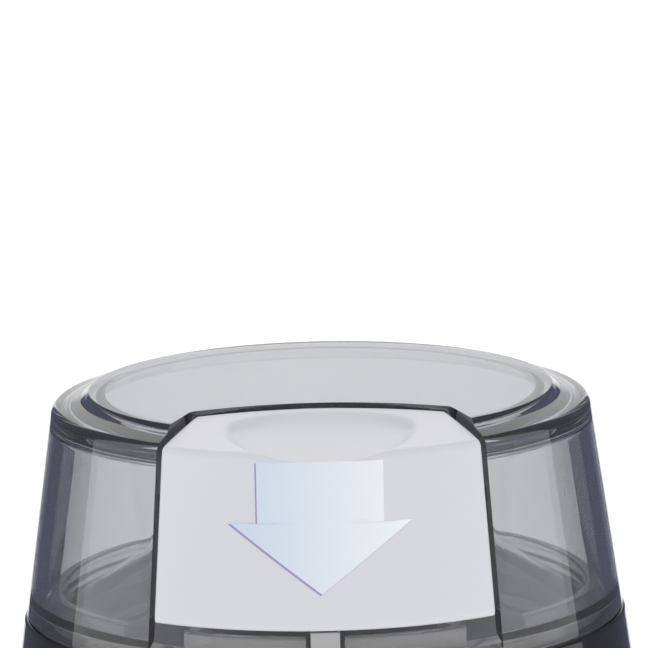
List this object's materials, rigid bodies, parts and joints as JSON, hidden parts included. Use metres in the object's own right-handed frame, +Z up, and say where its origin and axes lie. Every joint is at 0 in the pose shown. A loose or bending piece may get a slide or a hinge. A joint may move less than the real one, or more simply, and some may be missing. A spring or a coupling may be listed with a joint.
{
  "type": "food processor",
  "caption": "Compact electric food chopper: dark round motor base with a steel bowl, and a smoke-clear tapered lid with a white press key.",
  "frame": {"origin": "centre of the plane that the feet stand on", "axes": "+Z up along the drive shaft; the key faces -Y"},
  "size_m": [0.0946, 0.0946, 0.1776],
  "materials": {
    "smoke_plastic": "polished clear, grey tint",
    "clear_plastic": "polished clear",
    "white_plastic": "semi-gloss",
    "grey_plastic": "satin",
    "gloss_black": "high gloss",
    "satin_black": "satin",
    "dark_nylon": "matte",
    "rubber": "matte",
    "silicone": "matte",
    "stainless": "brushed",
    "spring_steel": "drawn wire",
    "lamination": "varnished laminations",
    "copper": "enamelled wire",
    "brass": "plain",
    "carbon": "pressed carbon"
  },
  "bodies": {
    "base": {"base_collar": "gloss_black", "base_housing": "satin_black", "bottom_cover": "dark_nylon", "cord_gland": "rubber", "bowl": "stainless", "shaft_seal": "rubber", "upper_bearing": "brass", "lower_bearing": "brass", "stator_core": "lamination", "field_coil_left": "copper", "field_coil_right": "copper", "motor_deck": "dark_nylon", "lower_bracket": "dark_nylon", "motor_bolt_front": "stainless", "motor_nut_front": "stainless", "motor_bolt_rear": "stainless", "motor_nut_rear": "stainless", "brush_holder_left": "brass", "carbon_brush_left": "carbon", "brush_holder_right": "brass", "carbon_brush_right": "carbon", "rod_spring": "spring_steel", "switch_bracket": "stainless", "microswitch": "dark_nylon", "rubber_foot_1": "rubber", "bottom_screw_1": "stainless", "rubber_foot_2": "rubber", "bottom_screw_2": "stainless", "rubber_foot_3": "rubber", "bottom_screw_3": "stainless", "rubber_foot_4": "rubber", "bottom_screw_4": "stainless", "deck_screw_1": "stainless", "deck_mount_1": "rubber", "deck_screw_2": "stainless", "deck_mount_2": "rubber", "deck_screw_3": "stainless", "deck_mount_3": "rubber"},
    "lid": {"lid_cover": "smoke_plastic", "lid_inner_cup": "clear_plastic", "lid_seal": "silicone", "key_spring_left": "spring_steel", "key_spring_right": "spring_steel"},
    "key": {"push_key": "white_plastic", "key_plunger": "grey_plastic"},
    "rotor": {"drive_shaft": "stainless", "rotor_core": "lamination", "rotor_winding_lower": "copper", "rotor_winding_upper": "copper", "commutator": "copper", "cooling_fan": "dark_nylon", "blade_spacer": "stainless", "blade": "stainless", "blade_nut": "dark_nylon"},
    "switch_rod": {"switch_rod": "grey_plastic", "switch_plunger": "white_plastic"}
  },
  "joints": [
    {"name": "lid_lift", "type": "slide", "parent": "base", "child": "lid", "axis": [0, 0, 1], "range_m": [0, 0.06]},
    {"name": "key_press", "type": "slide", "parent": "lid", "child": "key", "axis": [0, 0, -1], "range_m": [0, 0.0035], "stiffness_N_per_m": 500, "springref_m": -0.004, "deforming": ["key_spring_left", "key_spring_right"]},
    {"name": "rod_press", "type": "slide", "parent": "base", "child": "switch_rod", "axis": [0, 0, -1], "range_m": [0, 0.0035], "stiffness_N_per_m": 100, "springref_m": -0.004, "deforming": ["rod_spring"]},
    {"name": "rotor_spin", "type": "hinge", "parent": "base", "child": "rotor", "pos_m": [0, 0, 0.07], "axis": [0, 0, 1], "continuous": true}
  ],
  "couplings": [
    {"joint": "rod_press", "follows": "key_press", "ratio": 1}
  ]
}
